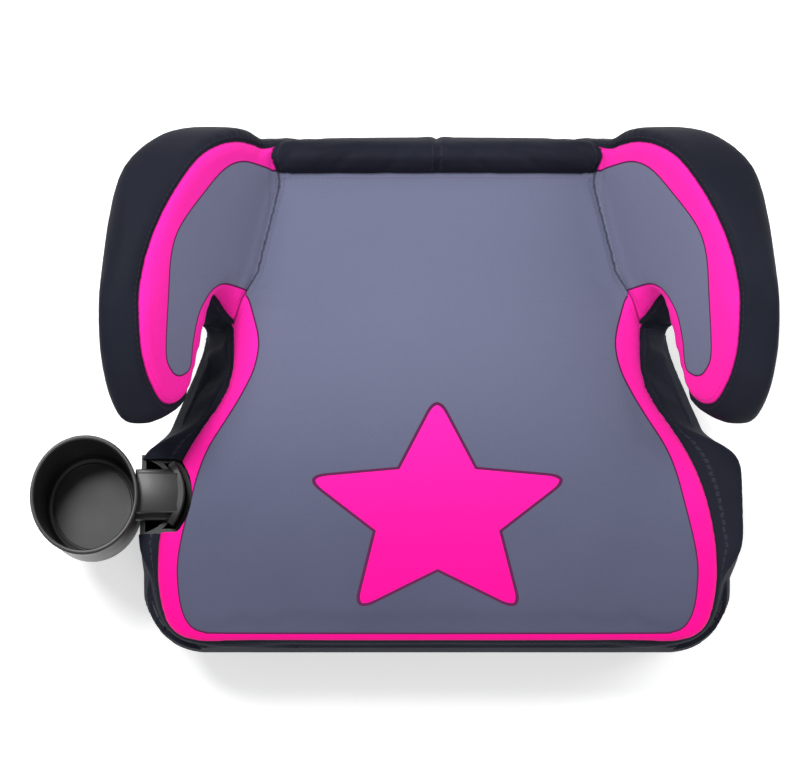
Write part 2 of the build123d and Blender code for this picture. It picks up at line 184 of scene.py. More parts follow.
# %% Outlines of the seat block, in millimetres, from the rear centre round to the front centre
# The deck is the flat top, and the shoulder is the widest level of the sides
deck_outline = [(0, 164), (50, 164), (98, 163), (114, 158), (121, 145), (125, 110), (129, 72), (133, 48),
                (136.5, 28), (137.5, 8), (142, -10), (149, -22), (157, -33), (170, -55), (180, -80),
                (186, -106), (188, -130), (186.5, -151), (182, -166), (174, -175), (161, -179.5),
                (120, -180.5), (60, -181), (0, -181)]
shoulder_outline = [(0, 165), (60, 165), (128, 163), (148, 157), (156, 143), (159, 110), (159, 72),
                    (158, 48), (160, 25), (169, 4), (175, -11), (180.5, -25), (186.5, -41), (194, -59),
                    (198.5, -80), (200, -106), (199, -131), (194, -152), (186.5, -165.5), (178, -173.5),
                    (165, -178), (120, -179.3), (60, -179.5), (0, -179.5)]
deck_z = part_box("seat_cover_panel")[1].z / MM
shoulder_z = 72.0
edge_seam_z = deck_z - 7.0
hem_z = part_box("hem_elastic")[1].z / MM
foot_inset = 9.5


def full_outline(half):
    """The closed outline through a half outline and its mirror image."""
    left = [(-x, y) for x, y in reversed(half[1:-1])]
    return smooth_curve(half + left, steps=5, closed=True)


def inset_outline(outline, inset):
    """The outline moved in by inset along its own normals."""
    ahead, behind = np.roll(outline, -1, axis=0), np.roll(outline, 1, axis=0)
    run = ahead - behind
    normal = np.stack([-run[:, 1], run[:, 0]], axis=1)
    normal /= np.linalg.norm(normal, axis=1)[:, None]
    return outline - normal * inset


deck = full_outline(deck_outline)
shoulder = full_outline(shoulder_outline)
foot = inset_outline(shoulder, foot_inset)


def between(first, second, share):
    """An outline part of the way from the first outline to the second."""
    return first * (1 - share) + second * share


def seat_block():
    """Closed block of the seat body, ring by ring from below the foot to the top."""
    rings = [(-12.0, foot), (hem_z, foot), (40.0, between(foot, shoulder, 0.58)),
             (shoulder_z - 8, shoulder), (shoulder_z + 2, shoulder)]
    for height, share in ((82.0, 0.30), (92.0, 0.66), (98.0, 0.88)):
        rings.append((height, between(shoulder, deck, share)))
    for height, inset in ((101.5, 1.0), (103.7, 4.0), (deck_z, 10.0)):
        rings.append((height, inset_outline(deck, inset)))
    count = len(deck)
    vertices = [(x, y, z) for z, ring in rings for x, y in ring]
    faces = []
    for k in range(len(rings) - 1):
        low, high = k * count, (k + 1) * count
        for i in range(count):
            j = (i + 1) % count
            faces.append([high + i, high + j, low + j, low + i])
    faces.append(list(range(count)))
    faces.append([(len(rings) - 1) * count + i for i in reversed(range(count))])
    return mesh_object("seat_block", np.array(vertices) * MM, faces)


block = seat_block()
print("seat block:", len(block.data.vertices), "points")

# %% [markdown]
# ## An armrest from three outlines
# An armrest is drawn as a carver would draw it on a block of foam: from the side, from the front
# and from above. What the three bars have in common is the armrest. The bar seen from the front is
# sheared, because the armrests turn in a little towards the front.

# %% Outlines of an armrest
side_view = [(163, 58), (165, 100), (165, 134), (160, 158), (149, 179), (130, 197), (106, 210), (79, 217),
             (52, 219), (28, 216), (3, 209), (-18, 197), (-34, 181), (-43, 164), (-41, 150), (-28, 141),
             (-8, 138), (14, 138), (33, 138.5), (45, 137.5), (52.5, 132), (53.5, 123), (50, 113), (44, 104),
             (40, 92), (41, 58)]
front_view = [(108.7, 56), (134, 106), (160, 157.5), (181, 199), (188, 211), (197, 218.5), (208, 219),
              (219, 212), (227, 200), (229, 186), (222, 170), (190, 122), (150, 64)]
plan_view = [(96, 160), (118, 162), (148, 166), (173, 158), (190, 144), (203, 126), (211.5, 103),
             (215.5, 72), (218, 36), (218, 2), (216, -18), (212, -33), (205, -43), (196, -46),
             (185, -41), (173.5, -33), (163, -22), (152, -3), (130, 28), (96, 40)]
front_view_y = 32.0
toe_in = 0.229
root_corner = (108.7, front_view_y, 56.0)


def bar(name, outline, to_point, low, high):
    """Closed bar with the given outline, between two depths. to_point places (a, b, depth)."""
    count = len(outline)
    vertices = [to_point(a, b, depth) for depth in (low, high) for a, b in outline]
    faces = [[i, (i + 1) % count, count + (i + 1) % count, count + i] for i in range(count)]
    faces += [list(reversed(range(count))), list(range(count, 2 * count))]
    obj = mesh_object(name, np.array(vertices) * MM, faces)
    make_active(obj)
    bpy.ops.object.mode_set(mode="EDIT")
    bpy.ops.mesh.select_all(action="SELECT")
    bpy.ops.mesh.normals_make_consistent(inside=False)
    bpy.ops.object.mode_set(mode="OBJECT")
    return obj


def armrest_block():
    """The +X armrest: the part that three bars have in common."""
    front = bar("front_bar", smooth_curve(front_view, 5, True),
                lambda x, z, y: (x - toe_in * (y - front_view_y), y, z), -60, 190)
    side = bar("side_bar", smooth_curve(side_view, 5, True), lambda y, z, x: (x, y, z), 60, 260)
    plan = bar("plan_bar", smooth_curve(plan_view, 5, True), lambda x, y, z: (x, y, z), 40, 240)
    for cutter in (side, plan):
        apply_modifier(front, "BOOLEAN", object=cutter, operation="INTERSECT", solver="EXACT")
        bpy.data.objects.remove(cutter)
    return front


def rear_lip_block():
    """The roll across the rear edge."""
    profile = [(139, 92), (140.5, 103), (143, 113), (148, 121.5), (154.5, 125), (161, 121), (165, 112),
               (166, 92)]
    return bar("lip_block", smooth_curve(profile, 4, True), lambda y, z, x: (x, y, z), -132, 132)


arm = armrest_block()
other_arm = arm.copy()
other_arm.data = arm.data.copy()
other_arm.data.transform(Matrix.Scale(-1, 4, (1, 0, 0)))
other_arm.data.flip_normals()
bpy.context.scene.collection.objects.link(other_arm)
lip = rear_lip_block()
print("armrest block:", len(arm.data.vertices), "points")

# %% [markdown]
# ## One form, then a smooth one
# A voxel remesh fuses the blocks into one skin of even squares. Smoothing then rounds the cut
# edges to the radius that foam under tight cloth has.

# %% Fuse and smooth
VOXEL = 3.2 * MM
SMOOTHING_ROUNDS = 26
make_active(block, arm, other_arm, lip)
bpy.ops.object.join()
form = block
form.name = "form"
apply_modifier(form, "REMESH", mode="VOXEL", voxel_size=VOXEL)
apply_modifier(form, "SMOOTH", factor=0.5, iterations=SMOOTHING_ROUNDS)
print("form:", len(form.data.polygons), "faces, size in mm", [round(v / MM) for v in form.dimensions])

# %% [markdown]
# ## Air in the foam
# Real padding pushes the cloth out between its seams. A short cloth simulation with a little
# inner pressure gives this. Each point may move only a few millimetres, so the measured form
# stays.

# %% Inflate with cloth, then cap the movement
PRESSURE_CAP = 2.0 * MM
CLOTH_FRAMES = 20


def inflate(obj, cap):
    """Blows the mesh up a little, with no point moved further than the cap."""
    rest = np.array([v.co for v in obj.data.vertices])
    make_active(obj)
    modifier = obj.modifiers.new("cloth", "CLOTH")
    settings = modifier.settings
    settings.quality = 4
    settings.mass = 0.2
    settings.tension_stiffness = settings.compression_stiffness = 20
    settings.bending_stiffness = 2
    settings.use_pressure = True
    settings.uniform_pressure_force = 4
    settings.effector_weights.gravity = 0
    modifier.point_cache.frame_end = CLOTH_FRAMES
    for frame_number in range(1, CLOTH_FRAMES + 1):
        bpy.context.scene.frame_set(frame_number)
    bpy.ops.object.modifier_apply(modifier=modifier.name)
    bpy.context.scene.frame_set(1)
    blown = np.array([v.co for v in obj.data.vertices])
    move = blown - rest
    length = np.linalg.norm(move, axis=1)
    scale = cap * np.tanh(length / cap) / np.maximum(length, 1e-9)
    for vertex, place in zip(obj.data.vertices, rest + move * scale[:, None]):
        vertex.co = place
    print("cloth moved points by up to", round(length.max() / MM, 1), "mm, capped at", cap / MM)


inflate(form, PRESSURE_CAP)
apply_modifier(form, "SUBSURF", levels=1)
print("form:", len(form.data.polygons), "faces")

# %% [markdown]
# ## Where the seams run
# Each seam is the place where a measured distance is zero: the distance from a plane, or from the
# armrest's inner face. Cutting the form there gives smooth seams on any mesh. The cover has a
# printed seat panel, a printed panel on the inside of each armrest, and black panels elsewhere.

# %% Distances that place the seams, in millimetres
top_x, top_z = 188.0, 213.0
face_normal = Vector((-toe_in, 1, 0)).cross(Vector((top_x - root_corner[0], 0, top_z - root_corner[2])))
face_normal.normalize()


def ramp(value, low, high):
    """Smooth step from 0 at low to 1 at high."""
    t = np.clip((value - low) / (high - low), 0, 1)
    return t * t * (3 - 2 * t)


def signed_distance(points, outline):
    """Distance of 2-D points from a closed outline, positive inside."""
    a = outline
    b = np.roll(outline, -1, axis=0)
    best = np.full(len(points), 1e9)
    inside = np.zeros(len(points), bool)
    for (ax, ay), (bx, by) in zip(a, b):
        px, py = points[:, 0] - ax, points[:, 1] - ay
        dx, dy = bx - ax, by - ay
        t = np.clip((px * dx + py * dy) / max(dx * dx + dy * dy, 1e-9), 0, 1)
        best = np.minimum(best, np.hypot(px - t * dx, py - t * dy))
        if ay != by:
            crosses = (ay > points[:, 1]) != (by > points[:, 1])
            inside ^= crosses & (points[:, 0] < ax + (points[:, 1] - ay) * dx / dy)
    return np.where(inside, best, -best)


def face_distance(p):
    """Distance outboard of the armrest's inner face, the same on both sides."""
    x, y, z = abs(p[..., 0]), p[..., 1], p[..., 2]
    return ((x - root_corner[0]) * face_normal.x + (y - root_corner[1]) * face_normal.y
            + (z - root_corner[2]) * face_normal.z)


def arm_seam(p):
    """Above zero on the armrest, below zero on the seat."""
    x, y, z = abs(p[..., 0]), p[..., 1], p[..., 2]
    across_root = ((x - 129) * 18 + (y - 56) * 9) / 20.1
    behind = np.minimum(across_root, y - 37)
    return np.maximum(z - 133, np.minimum(np.minimum(face_distance(p) + 4, behind), z - 88))


def arm_panel_seam(p):
    """Above zero on the printed inside of the armrest, below zero on its black outside."""
    edge = signed_distance(p.reshape(-1, 3)[:, 1:], arm_seam_line).reshape(p.shape[:-1])
    outboard = face_distance(p)
    return np.minimum(edge + 2 - outboard, 7 + 4 * ramp(p[..., 1], 30, 48) - outboard)


def band_seam(p):
    """Above zero on the black roll at the rear."""
    return np.minimum(p[..., 1] - 139.5, p[..., 2] - 90)


def deck_seam(p):
    """Above zero on the seat panel, whose edge turns down a little over the side."""
    return p[..., 2] - edge_seam_z + 2.5 * ramp(p[..., 1], -150, -176)


# The edge of the printed armrest panel, seen from the side: (y, z)
arm_seam_points = [(150, 84), (150, 106), (150, 136), (146, 157), (139, 175), (125, 192), (95, 208),
                   (63, 215), (32, 213), (4, 202), (-13, 189), (-25, 173), (-28, 162), (-25, 152),
                   (-14, 143), (2, 132), (30, 124), (34, 104), (30, 84)]
arm_seam_line = smooth_curve(arm_seam_points, 5, True)
print("inner face leans", round(math.degrees(math.asin(-face_normal.z)), 1), "degrees from upright")

# %% [markdown]
# ## Cut along the seams
# A face that a seam crosses is split where the distance is zero, and each side gets the number of
# its panel. The seams between black side panels are hardly seen, so they get no groove.

# %% Cut the form into panels
(BODY, ARM, ARM_PANEL, BAND, BAND_RIGHT, DECK, FRONT, REAR, FLANK_RIGHT, HEM, UNDER) = range(11)


def cut(bm, layer, group, new_group, distance):
    """Cuts a group of faces along distance = 0 and moves the side above zero to new_group."""
    faces = [f for f in bm.faces if f[layer] == group]
    vertices = list({v for f in faces for v in f.verts})
    values = distance(np.array([v.co for v in vertices]) / MM)
    values[abs(values) < 0.25] = 0
    value = dict(zip(vertices, values))
    crossing = {e for f in faces for e in f.edges if value[e.verts[0]] * value[e.verts[1]] < 0}
    for edge in crossing:
        a, b = edge.verts
        share = value[a] / (value[a] - value[b])
        middle = bmesh.utils.edge_split(edge, a, share)[1]
        value[middle] = 0
    for face in faces:
        on_seam = [v for v in face.verts if value.get(v) == 0]
        if len(on_seam) == 2 and not any(on_seam[0] in e.verts and on_seam[1] in e.verts for e in face.edges):
            bmesh.utils.face_split(face, on_seam[0], on_seam[1])
    faces = [f for f in bm.faces if f[layer] == group]
    centres = np.array([f.calc_center_median() for f in faces]) / MM
    for face, value in zip(faces, distance(centres)):
        if value > 0:
            face[layer] = new_group


bm = bmesh.new()
bm.from_mesh(form.data)
group = bm.faces.layers.int.new("group")
FRONT_SEAM_Y, REAR_SEAM_Y, FOOT_CUT_Z = -148, 128, 4.2
cuts = [(BODY, ARM, arm_seam), (ARM, ARM_PANEL, arm_panel_seam), (BODY, BAND, band_seam),
        (BAND, BAND_RIGHT, lambda p: p[..., 0]), (BODY, DECK, deck_seam),
        (BODY, FRONT, lambda p: FRONT_SEAM_Y - p[..., 1]),
        (BODY, REAR, lambda p: p[..., 1] - REAR_SEAM_Y),
        (BODY, FLANK_RIGHT, lambda p: p[..., 0])]
for old, new, distance in cuts:
    cut(bm, group, old, new, distance)
for old in (BODY, FRONT, REAR, FLANK_RIGHT):
    cut(bm, group, old, HEM, lambda p: hem_z - p[..., 2])
cut(bm, group, HEM, UNDER, lambda p: FOOT_CUT_Z - p[..., 2])
bmesh.ops.delete(bm, geom=[f for f in bm.faces if f[group] == UNDER], context="FACES")
bm.verts.index_update()
SKIRT = {BODY, FRONT, REAR, FLANK_RIGHT}
seam_points = []
for vertex in bm.verts:
    touching = {f[group] for f in vertex.link_faces}
    if len(touching) > 1 and not touching <= SKIRT:
        seam_points.append(vertex.co.copy())


# %% [markdown]
# ## The opening for the cup holder
# The cover has an opening at the left socket, where the cup holder's tongue drops in. Its inner
# edge follows the curve of the tongue.


# %% Cut the notch
def cut_notch(bm, layer, groups, distance):
    """Takes away the part of the groups where distance is above zero."""
    for old in groups:
        cut(bm, layer, old, UNDER, distance)
    bmesh.ops.delete(bm, geom=[f for f in bm.faces if f[layer] == UNDER], context="FACES")


NOTCH_X, NOTCH_Y = -203, -80.5
NOTCH_RADIUS, NOTCH_HALF_WIDTH, NOTCH_FLOOR_Z = 39.0, 25.5, 86


def round_notch(p):
    """Above zero inside the opening."""
    from_centre = np.hypot(p[..., 0] - NOTCH_X, p[..., 1] - NOTCH_Y)
    inside = np.minimum(NOTCH_RADIUS - from_centre, NOTCH_HALF_WIDTH - abs(p[..., 1] - NOTCH_Y))
    return np.minimum(inside, p[..., 2] - NOTCH_FLOOR_Z)


cut_notch(bm, group, (DECK, BODY), round_notch)
print("cover:", len(bm.faces), "faces,", len(seam_points), "points on seams")

# %% [markdown]
# ## The print
# The grey and pink are printed on the cloth. The line between them is stored on every point as a
# distance, positive on the grey side, so the material can draw a crisp line at any size.

# %% Print lines, in millimetres
seat_print = [(150, 190), (142, 60), (130, 56), (123.5, 39), (120.5, 22), (123.5, 5), (131, -11), (141, -28),
              (153, -48), (160, -66), (165.5, -88), (170.5, -110), (173, -128), (172, -146), (169, -160),
              (163.5, -169), (155, -172.5), (138, -173.2), (0, -173.4)]
arm_print = [(140, 84), (140, 104), (140, 127), (137, 150), (127, 167), (107, 182), (81, 197), (61, 199),
             (36, 192), (1, 180), (-9, 170), (-11, 161), (-7, 153), (-1, 151), (14, 155), (33, 156),
             (49, 148), (57, 134), (58, 107), (58, 84)]
seat_half = smooth_curve(seat_print, 6)
seat_line = np.vstack([seat_half, seat_half[::-1] * (-1, 1)])
arm_line = smooth_curve(arm_print, 6)
places = np.array([v.co for v in bm.verts]) / MM
on_arm = np.array([any(f[group] == ARM_PANEL for f in v.link_faces) for v in bm.verts])
print_distance = signed_distance(places[:, :2], seat_line)
print_distance[on_arm] = signed_distance(places[on_arm][:, 1:], arm_line)
print("printed grey over", round(100 * (print_distance > 0).mean()), "percent of the points")

# %% [markdown]
# ## Seams, folds and puckers
# Cloth dips into each seam and stands up beside it. It creases where a curve is pulled tight:
# beside the armrest's root, in the ends of the belt slots, and along the rear roll.

# %% Dips and folds
seam_tree = kdtree.KDTree(len(seam_points))
for i, point in enumerate(seam_points):
    seam_tree.insert(point, i)
seam_tree.balance()
seam_distance = np.array([seam_tree.find(v.co)[2] for v in bm.verts]) / MM


def distance_to_line(points, line):
    """Distance of 3-D points from a line of points, and how far along the line each one is, 0 to 1."""
    best = np.full(len(points), 1e9)
    along = np.zeros(len(points))
    for i, (a, b) in enumerate(zip(line[:-1], line[1:])):
        run = b - a
        t = np.clip(((points - a) @ run) / (run @ run), 0, 1)
        d = np.linalg.norm(points - (a + t[:, None] * run), axis=1)
        closer = d < best
        best[closer] = d[closer]
        along[closer] = (i + t[closer]) / (len(line) - 1)
    return best, along


def fold(points, line, height, width):
    """Height of a soft ridge (or a crease, when height is below zero) that fades out at both ends."""
    d, along = distance_to_line(points, smooth_curve(line, 4))
    return height * np.exp(-(d / width) ** 2) * ramp(along, 0, 0.3) * ramp(along, 1, 0.7)


# (points along the fold on the +X side, height, width)
folds = [
    ([(112, 136, 104), (119, 108, 105), (125, 78, 106), (129, 56, 107)], -2.4, 2.2),
    ([(104, 132, 104), (111, 106, 104), (118, 80, 104), (125, 58, 104)], 1.9, 3.6),
    ([(127, 62, 104), (122, 74, 104), (112, 92, 104)], -1.4, 2.5),
    ([(127, 55, 104), (116, 60, 104), (98, 74, 104)], -1.3, 3.2),
    ([(127, 50, 104), (112, 46, 104), (92, 44, 104)], -1.0, 4.0),
    ([(137, 66, 112), (142, 74, 128), (148, 84, 146)], 2.0, 3.6),
    ([(143, 62, 124), (149, 66, 138), (155, 72, 156)], 2.2, 3.6),
    ([(151, 55, 140), (157, 58, 152), (163, 60, 170)], 1.9, 3.6),
    ([(158, 42, 150), (163, 42, 160), (169, 42, 178)], 1.5, 3.6),
    ([(20, 158, 125), (30, 146, 118), (42, 141, 104)], -1.3, 3.5),
    ([(48, 161, 122), (58, 150, 124), (74, 142, 110)], -1.6, 4.0),
    ([(64, 161, 122), (76, 152, 125), (94, 144, 112)], 1.4, 4.5),
    ([(92, 160, 122), (99, 150, 124), (108, 143, 114)], -1.4, 3.5),
    ([(4, 160, 122), (12, 154, 125), (26, 150, 124)], 1.0, 4.0),
    ([(139, 40, 100), (150, 36, 92), (160, 34, 78)], -3.0, 4.0),
    ([(138, 24, 100), (149, 20, 90), (160, 16, 76)], 2.6, 5.0),
    ([(138, 10, 100), (150, 4, 88), (163, -2, 74)], -2.2, 5.0),
    ([(142, -8, 100), (154, -14, 88), (167, -22, 72)], 1.6, 6.0),
]
mirrored = places.copy()
mirrored[:, 0] = abs(mirrored[:, 0])
lift = -1.2 * np.exp(-(seam_distance / 1.8) ** 2) + 0.5 * np.exp(-((seam_distance - 6) / 4) ** 2)
for line, height, width in folds:
    lift += fold(mirrored, line, height, width)
bm.normal_update()
for vertex, amount in zip(bm.verts, lift):
    vertex.co += vertex.normal * float(amount) * MM
print("folds move the cloth from", round(lift.min(), 1), "to", round(lift.max(), 1), "mm")

# %% [markdown]
# ## The bulge over each socket
# A socket stands out from the shell, and the cloth over it bulges, most of all on the side
# without the cup holder.

# %% Push the cloth out over the sockets
SOCKET_Y, SOCKET_SPREAD = -84, 44
REACH_RIGHT, REACH_LEFT = 205.5, 200.4
height = places[:, 2]
over_socket = np.exp(-((places[:, 1] - SOCKET_Y) / SOCKET_SPREAD) ** 6)
over_socket = over_socket * ramp(height, 20, 45) * ramp(height, 98, 91)
reach = np.where(places[:, 0] > 0, REACH_RIGHT, REACH_LEFT)
bulge = over_socket * np.maximum(reach - abs(places[:, 0]), 0) * (abs(places[:, 0]) > 150)
for vertex, amount in zip(bm.verts, bulge * np.sign(places[:, 0])):
    vertex.co.x += float(amount) * MM
print("sockets push the cloth out by up to", round(bulge.max(), 1), "mm")

# %% [markdown]
# ## The cloth rests on the mouldings
# Tight cloth cannot sink into the plastic under it. Any point nearer to the shell or the tray than
# the cloth is thick is moved out, so no plastic shows through the sides.

# %% Lay the cloth over the shell and the tray
CLOTH_THICKNESS = 1.8 * MM
CLOTH_CLEARANCE = 2.6 * MM
SEARCH_REACH = 6 * MM


def moulding_surface(*names):
    vertices, faces = [], []
    for name in names:
        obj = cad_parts[name]
        start = len(vertices)
        vertices += [obj.matrix_world @ v.co for v in obj.data.vertices]
        faces += [[start + i for i in p.vertices] for p in obj.data.polygons]
    return BVHTree.FromPolygons(vertices, faces)


mouldings = moulding_surface("seat_shell", "base_tray")
bm.normal_update()
moved = 0
for vertex in bm.verts:
    spot, normal = mouldings.find_nearest(vertex.co, SEARCH_REACH)[:2]
    if spot is None or vertex.normal.dot(normal) < 0.4:
        continue
    gap = (vertex.co - spot).dot(normal)
    if gap < CLOTH_CLEARANCE:
        vertex.co += normal * (CLOTH_CLEARANCE - gap)
        moved += 1
print("points moved off the mouldings:", moved)

# %% [markdown]
# ## Measures kept on every point
# A finish can only read what the mesh carries. Three measures are stored on the points: how far
# the print line is, how far the nearest seam is, and how far round its loop the point lies.

# %% Store the measures
print_layer = bm.verts.layers.float.new("print_distance")
seam_layer = bm.verts.layers.float.new("seam_distance")
run_layer = bm.verts.layers.float.new("seam_run")
# How far round its loop each point is, so the stitches can be spaced along the seams
around_arm = 75 * np.arctan2(places[:, 2] - 140, places[:, 1] - 60)
around_seat = 190 * np.arctan2(places[:, 0], -places[:, 1])
seam_run = np.where(places[:, 2] > 116, around_arm, around_seat)
for vertex, value, gap, run in zip(bm.verts, print_distance, seam_distance, seam_run):
    vertex[print_layer] = value
    vertex[seam_layer] = gap
    vertex[run_layer] = run
print("longest way round a loop:", round(float(seam_run.max())), "mm")

# %% [markdown]
# ## One object for each panel
# The pieces are separate on the real cover, so each becomes its own object with a real thickness.


# %% Make the panels
def take_panel(name, panel_group, side):
    """A new object with the faces of one group, given a thickness on the inside."""
    part = bm.copy()
    layer = part.faces.layers.int["group"]
    gone = []
    for face in part.faces:
        wrong_side = side != 0 and face.calc_center_median().x * side <= 0
        if face[layer] != panel_group or wrong_side:
            gone.append(face)
    bmesh.ops.delete(part, geom=gone, context="FACES")
    mesh = bpy.data.meshes.new(name)
    part.to_mesh(mesh)
    part.free()
    mesh.attributes.remove(mesh.attributes["group"])
    obj = bpy.data.objects.new(name, mesh)
    bpy.context.scene.collection.objects.link(obj)
    apply_modifier(obj, "SOLIDIFY", thickness=CLOTH_THICKNESS, offset=-1)
    make_active(obj)
    bpy.ops.object.shade_smooth_by_angle(angle=math.radians(50))
    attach(obj, SEAT)
    return obj


# (panel, group of faces, side: -1 for left, 1 for right, 0 for both)
panel_list = [
    ("seat_panel", DECK, 0), ("left_arm_inside", ARM_PANEL, -1), ("right_arm_inside", ARM_PANEL, 1),
    ("left_arm_outside", ARM, -1), ("right_arm_outside", ARM, 1), ("left_band", BAND, 0),
    ("right_band", BAND_RIGHT, 0), ("front_cloth", FRONT, 0), ("rear_cloth", REAR, 0),
    ("left_side_cloth", BODY, 0), ("right_side_cloth", FLANK_RIGHT, 0), ("hem", HEM, 0),
]
panels = {}
for name, panel_group, side in panel_list:
    panels[name] = take_panel(name, panel_group, side)
bm.free()
bpy.data.objects.remove(form)
for name, obj in panels.items():
    print(name, len(obj.data.polygons), "faces")

# %% [markdown]
# ## What each panel stands for
# The CAD has a plain solid for every panel and every foam pad. The sewn panels take their place.

# %% Replace the plain solids
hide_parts("seat_cover_panel", "seat_foam")
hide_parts("left_rear_band", "rear_lip_foam")
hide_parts("right_rear_band")
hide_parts("front_skin")
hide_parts("rear_skin")
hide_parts("hem_elastic")
for side in ("left", "right"):
    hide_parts(side + "_arm_panel", side + "_arm_foam")
    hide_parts(side + "_arm_skin")
    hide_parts(side + "_side_skin")
print("panels that replace CAD solids:", len(panels))

# %% [markdown]
# ## Finishes, and small helpers for them
# A finish is a chain of small steps: a measure or a noise goes in, and a colour or a height comes
# out. Each helper adds one kind of step, so that a finish reads as a list of what it is made of.


# %% Node helpers
def new_material(name):
    material = bpy.data.materials.new(name)
    material.use_nodes = True
    nodes = material.node_tree.nodes
    return material, nodes, material.node_tree.links, nodes["Principled BSDF"]


def node(nodes, kind, **settings):
    made = nodes.new("ShaderNode" + kind)
    for key, value in settings.items():
        setattr(made, key, value)
    return made


def math_node(nodes, links, operation, a, b=0.0, c=0.0):
    made = node(nodes, "Math", operation=operation)
    for socket, value in zip(made.inputs, (a, b, c)):
        if isinstance(value, (int, float)):
            socket.default_value = value
        else:
            links.new(value, socket)
    return made.outputs[0]


def mix_colour(nodes, links, share, a, b, blend="MIX"):
    made = node(nodes, "Mix", data_type="RGBA", blend_type=blend)
    for socket, value in ((made.inputs[0], share), (made.inputs[6], a), (made.inputs[7], b)):
        if isinstance(value, (int, float, tuple)):
            socket.default_value = value
        else:
            links.new(value, socket)
    return made.outputs[2]


def noise(nodes, links, coordinates, scale, detail=2.0, stretch=(1, 1, 1)):
    mapping = node(nodes, "Mapping")
    mapping.inputs["Scale"].default_value = stretch
    links.new(coordinates, mapping.inputs["Vector"])
    made = node(nodes, "TexNoise")
    made.inputs["Scale"].default_value = scale
    made.inputs["Detail"].default_value = detail
    links.new(mapping.outputs[0], made.inputs["Vector"])
    return made.outputs["Fac"]


# %% [markdown]
# ## Threads and stitches
# The cloth is woven from two crossed sets of threads, so its height is the product of two waves.
# The seams are sewn with a straight stitch, which is a dashed row beside the seam.


# %% Weave, stitches and relief
def weave(nodes, links, coordinates, threads_per_metre):
    """Height of a plain weave seen along Z: two crossed waves."""
    waves = []
    for direction in ("X", "Y"):
        wave = node(nodes, "TexWave", bands_direction=direction)
        wave.inputs["Scale"].default_value = threads_per_metre * 0.314
        wave.inputs["Distortion"].default_value = 0.6
        wave.inputs["Detail Scale"].default_value = 3.0
        links.new(coordinates, wave.inputs["Vector"])
        waves.append(wave.outputs["Fac"])
    return math_node(nodes, links, "MULTIPLY", waves[0], waves[1])


STITCH_OFFSET, STITCH_WIDTH, STITCH_PITCH, STITCH_SHARE = 3.0, 0.6, 3.6, 0.72


def stitches(nodes, links):
    """One where a stitch lies: a dashed line beside each seam."""
    seam = node(nodes, "Attribute", attribute_name="seam_distance").outputs["Fac"]
    run = node(nodes, "Attribute", attribute_name="seam_run").outputs["Fac"]
    beside = math_node(nodes, links, "ABSOLUTE", math_node(nodes, links, "SUBTRACT", seam, STITCH_OFFSET))
    on_row = math_node(nodes, links, "LESS_THAN", beside, STITCH_WIDTH / 2)
    part = math_node(nodes, links, "FRACT", math_node(nodes, links, "DIVIDE", run, STITCH_PITCH))
    on_dash = math_node(nodes, links, "LESS_THAN", part, STITCH_SHARE)
    return math_node(nodes, links, "MULTIPLY", on_row, on_dash)


def bump(nodes, links, shader, heights):
    """Chains (height, strength, distance) bumps into the shader's normal."""
    normal = None
    for height, strength, distance in heights:
        made = node(nodes, "Bump")
        made.inputs["Strength"].default_value = strength
        made.inputs["Distance"].default_value = distance
        links.new(height, made.inputs["Height"])
        if normal is not None:
            links.new(normal, made.inputs["Normal"])
        normal = made.outputs[0]
    links.new(normal, shader.inputs["Normal"])


# %% [markdown]
# ## The star
# A plain star is printed on the seat. It has five equal points, so one point is measured and the
# angle is folded onto it. The tips are rounded by a soft cut with a circle.

# %% Distance from the star
STAR_CENTRE_Y = 0.094
STAR_RADIUS = 0.081
STAR_VALLEY = 0.47
STAR_NARROWING = 0.86


def star_distance(nodes, links, place):
    """Distance in metres from a rounded five-point star, negative inside."""
    x = math_node(nodes, links, "MULTIPLY", place.outputs["X"], STAR_NARROWING)
    y = math_node(nodes, links, "ADD", place.outputs["Y"], STAR_CENTRE_Y)
    angle = math_node(nodes, links, "ARCTAN2", x, y)
    x_squared = math_node(nodes, links, "MULTIPLY", x, x)
    y_squared = math_node(nodes, links, "MULTIPLY", y, y)
    radius = math_node(nodes, links, "SQRT", math_node(nodes, links, "ADD", x_squared, y_squared))
    turn = 2 * math.pi / 5
    wedge = math_node(nodes, links, "PINGPONG", angle, turn / 2)
    along = math_node(nodes, links, "MULTIPLY", radius, math_node(nodes, links, "COSINE", wedge))
    across = math_node(nodes, links, "MULTIPLY", radius, math_node(nodes, links, "SINE", wedge))
    # The side of a point runs from the tip to the valley between two points
    tip = Vector((STAR_RADIUS, 0))
    valley = Vector((math.cos(turn / 2), math.sin(turn / 2))) * STAR_RADIUS * STAR_VALLEY
    run = (valley - tip).normalized()
    normal = Vector((-run.y, run.x))
    if normal.x < 0:
        normal = -normal
    offset = normal.dot(tip)
    distance = math_node(nodes, links, "ADD", math_node(nodes, links, "MULTIPLY", along, normal.x),
                         math_node(nodes, links, "MULTIPLY", across, normal.y))
    distance = math_node(nodes, links, "SUBTRACT", distance, offset)
    # Rounded tips: a smooth maximum with the circle round the star
    cap = math_node(nodes, links, "SUBTRACT", radius, STAR_RADIUS * 0.93)
    return math_node(nodes, links, "SMOOTH_MAX", distance, cap, 0.008)


# %% [markdown]
# ## The printed cloth
# The printed cloth is a fine plain weave with a soft nap. The pink is printed on the same cloth,
# so both colours share one weave. Both are painted darker towards the front as painted shade,
# the seat panel's grey is painted darker than the armrests' as painted shade, and the cloth is
# painted darker in its seams as painted shade. A thin dark printed line parts the pink from the grey.

# %% Printed cloth
# The rear colours are the lit cloth; the front colours are the same cloth with painted shade
GREY_REAR = (0.143, 0.151, 0.235, 1)
GREY_SHADED_FRONT = (0.062, 0.066, 0.112, 1)
PINK_REAR = (0.92, 0.018, 0.38, 1)
PINK_SHADED_FRONT = (0.80, 0.0015, 0.23, 1)
GREY_WORN = (0.19, 0.20, 0.29, 1)
LINE = (0.09, 0.012, 0.06, 1)


